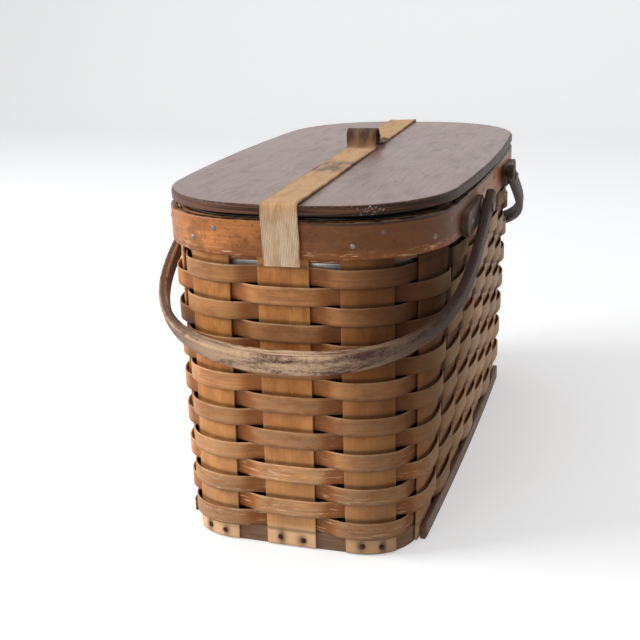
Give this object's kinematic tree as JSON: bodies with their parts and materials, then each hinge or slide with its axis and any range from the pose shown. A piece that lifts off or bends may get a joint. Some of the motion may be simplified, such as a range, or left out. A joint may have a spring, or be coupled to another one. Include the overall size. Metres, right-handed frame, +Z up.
{
  "type": "insulated picnic basket",
  "caption": "Insulated picnic basket: woven splint body on a board base, metal liner, lift-off board lid with a web strap, and swing handles of bent wood that hang round the ends.",
  "frame": {"origin": "on the floor, under the middle of the basket", "axes": "+Z up, +Y along the basket's length towards its far end, +X across its width to the right"},
  "size_m": [0.2956, 0.5478, 0.329],
  "materials": {
    "base_wood": "matte, dark stained board",
    "weave_splint": "satin, honey varnished splint",
    "stake_splint": "satin, honey varnished splint",
    "rim_wood": "satin, red-brown varnish, worn",
    "runner_wood": "satin varnish, worn",
    "lid_wood": "satin, dark brown varnish",
    "handle_wood": "worn dark varnish, pale where rubbed",
    "block_wood": "worn dark varnish",
    "nail_steel": "dull, dark",
    "pin_steel": "dull, dark",
    "washer_steel": "dull",
    "screw_steel": "dull",
    "felt": "packed fibre felt",
    "liner_metal": "dull sheet metal",
    "strap_web": "ribbed cotton web",
    "slide_metal": "dark wire"
  },
  "bodies": {
    "basket": {"base_board": "base_wood", "base_nails": "nail_steel", "block_nails": "nail_steel", "insulation": "felt", "liner": "liner_metal", "pivot_blocks": "block_wood", "pivot_pins": "pin_steel", "pivot_washers": "washer_steel", "rim_inner": "rim_wood", "rim_nails": "nail_steel", "rim_outer": "rim_wood", "runner_left": "runner_wood", "runner_nails": "nail_steel", "runner_right": "runner_wood", "stake_01": "stake_splint", "stake_02": "stake_splint", "stake_03": "stake_splint", "stake_04": "stake_splint", "stake_05": "stake_splint", "stake_06": "stake_splint", "stake_07": "stake_splint", "stake_08": "stake_splint", "stake_09": "stake_splint", "stake_10": "stake_splint", "stake_11": "stake_splint", "stake_12": "stake_splint", "stake_13": "stake_splint", "stake_14": "stake_splint", "stake_15": "stake_splint", "stake_16": "stake_splint", "stake_17": "stake_splint", "stake_18": "stake_splint", "stake_19": "stake_splint", "stake_20": "stake_splint", "weaver_01": "weave_splint", "weaver_02": "weave_splint", "weaver_03": "weave_splint", "weaver_04": "weave_splint", "weaver_05": "weave_splint", "weaver_06": "weave_splint", "weaver_07": "weave_splint", "weaver_08": "weave_splint", "weaver_09": "weave_splint", "weaver_10": "weave_splint", "weaver_11": "weave_splint", "weaver_12": "weave_splint", "weaver_13": "weave_splint", "weaver_14": "weave_splint", "weaver_15": "weave_splint"},
    "lid": {"lid_board": "lid_wood", "lid_gasket": "felt", "lid_insulation": "felt", "lid_pan": "liner_metal", "lid_screws": "screw_steel", "strap_far": "strap_web", "strap_near": "strap_web", "strap_slide": "slide_metal"},
    "handle_near": {"handle_near": "handle_wood"},
    "handle_far": {"handle_far": "handle_wood"}
  },
  "joints": [
    {"name": "lid_lift", "type": "slide", "parent": "basket", "child": "lid", "axis": [0, 0, 1], "range_m": [0, 0.3]},
    {"name": "handle_near_swing", "type": "hinge", "parent": "basket", "child": "handle_near", "pos_m": [0, -0.079, 0.275], "axis": [-1, 0, 0], "range_deg": [0, 130]},
    {"name": "handle_far_swing", "type": "hinge", "parent": "basket", "child": "handle_far", "pos_m": [0, 0.079, 0.275], "axis": [1, 0, 0], "range_deg": [0, 130]}
  ]
}
